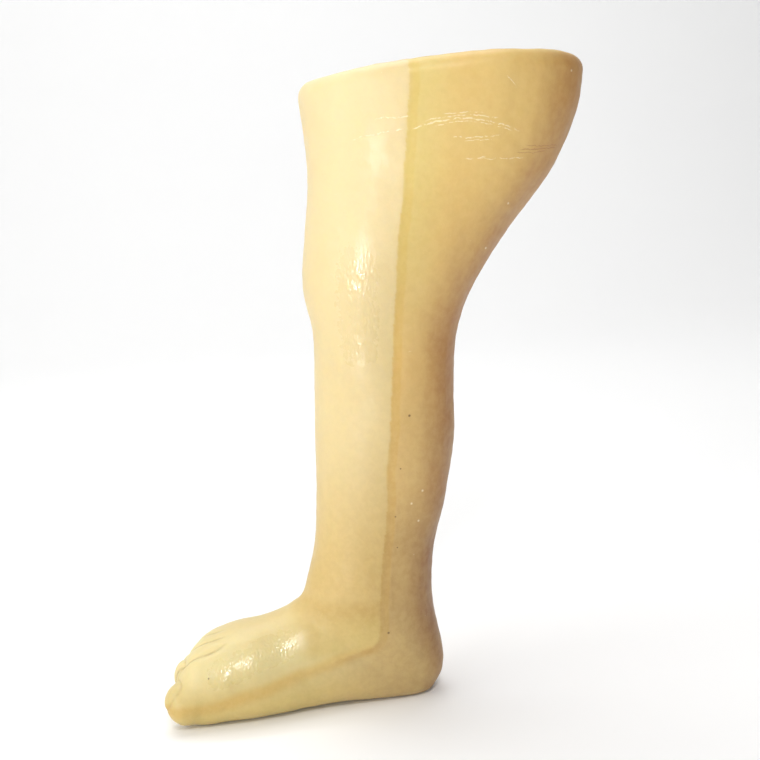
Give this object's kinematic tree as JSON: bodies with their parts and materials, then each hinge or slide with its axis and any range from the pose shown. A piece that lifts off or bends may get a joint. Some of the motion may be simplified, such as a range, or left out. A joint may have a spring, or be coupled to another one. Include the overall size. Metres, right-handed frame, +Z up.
{
  "type": "prosthetic leg",
  "caption": "Child's right above-knee prosthetic leg with a bare-foot foam cover over a socket, a bending knee, a shank tube and a foot core.",
  "frame": {"origin": "bottom centre of the bounding box, on the floor under the sole", "axes": "+Z up the leg, toes towards -Y, inner (big toe) side towards +X"},
  "size_m": [0.108, 0.2286, 0.3238],
  "materials": {
    "cover_skin": "waxy satin integral skin, slightly translucent",
    "socket_shell": "smooth laminated shell",
    "liner_foam": "soft closed-cell foam with a fabric face",
    "rubber": "matte moulded rubber",
    "bush_brass": "turned",
    "keel_wood": "sanded hardwood",
    "dark_steel": "oxide-blackened",
    "bright_steel": "machined",
    "aluminium": "satin anodised"
  },
  "bodies": {
    "thigh": {"thigh_cover": "cover_skin", "knee_cover": "cover_skin", "socket": "socket_shell", "socket_liner": "liner_foam", "distal_end_pad": "liner_foam", "socket_plate": "aluminium", "socket_screw_1": "dark_steel", "socket_screw_2": "dark_steel", "socket_screw_3": "dark_steel", "socket_screw_4": "dark_steel", "pyramid_adapter": "bright_steel", "knee_head": "aluminium", "knee_set_screw_1": "dark_steel", "knee_set_screw_2": "dark_steel", "knee_set_screw_3": "dark_steel", "knee_set_screw_4": "dark_steel", "knee_bush_left": "bush_brass", "knee_bush_right": "bush_brass"},
    "shin": {"shin_cover": "cover_skin", "sole_plug": "rubber", "knee_axle": "bright_steel", "axle_circlip_left": "dark_steel", "axle_circlip_right": "dark_steel", "knee_yoke": "aluminium", "yoke_clamp_screw": "dark_steel", "extension_bumper": "rubber", "pylon_tube": "aluminium", "ankle_clamp": "aluminium", "ankle_clamp_screw": "dark_steel", "ankle_set_screw_1": "dark_steel", "ankle_set_screw_2": "dark_steel", "ankle_set_screw_3": "dark_steel", "ankle_set_screw_4": "dark_steel", "foot_pyramid": "bright_steel", "foot_bolt": "dark_steel", "foot_washer": "bright_steel", "foot_keel": "keel_wood", "heel_wedge": "rubber"}
  },
  "joints": [
    {"name": "knee_flexion", "type": "hinge", "parent": "thigh", "child": "shin", "pos_m": [0, 0.012, 0.207], "axis": [1, 0, 0], "range_deg": [0, 80], "stiffness_Nm_per_rad": 0.6, "springref_deg": -20.05, "deforming": ["knee_cover"]}
  ]
}
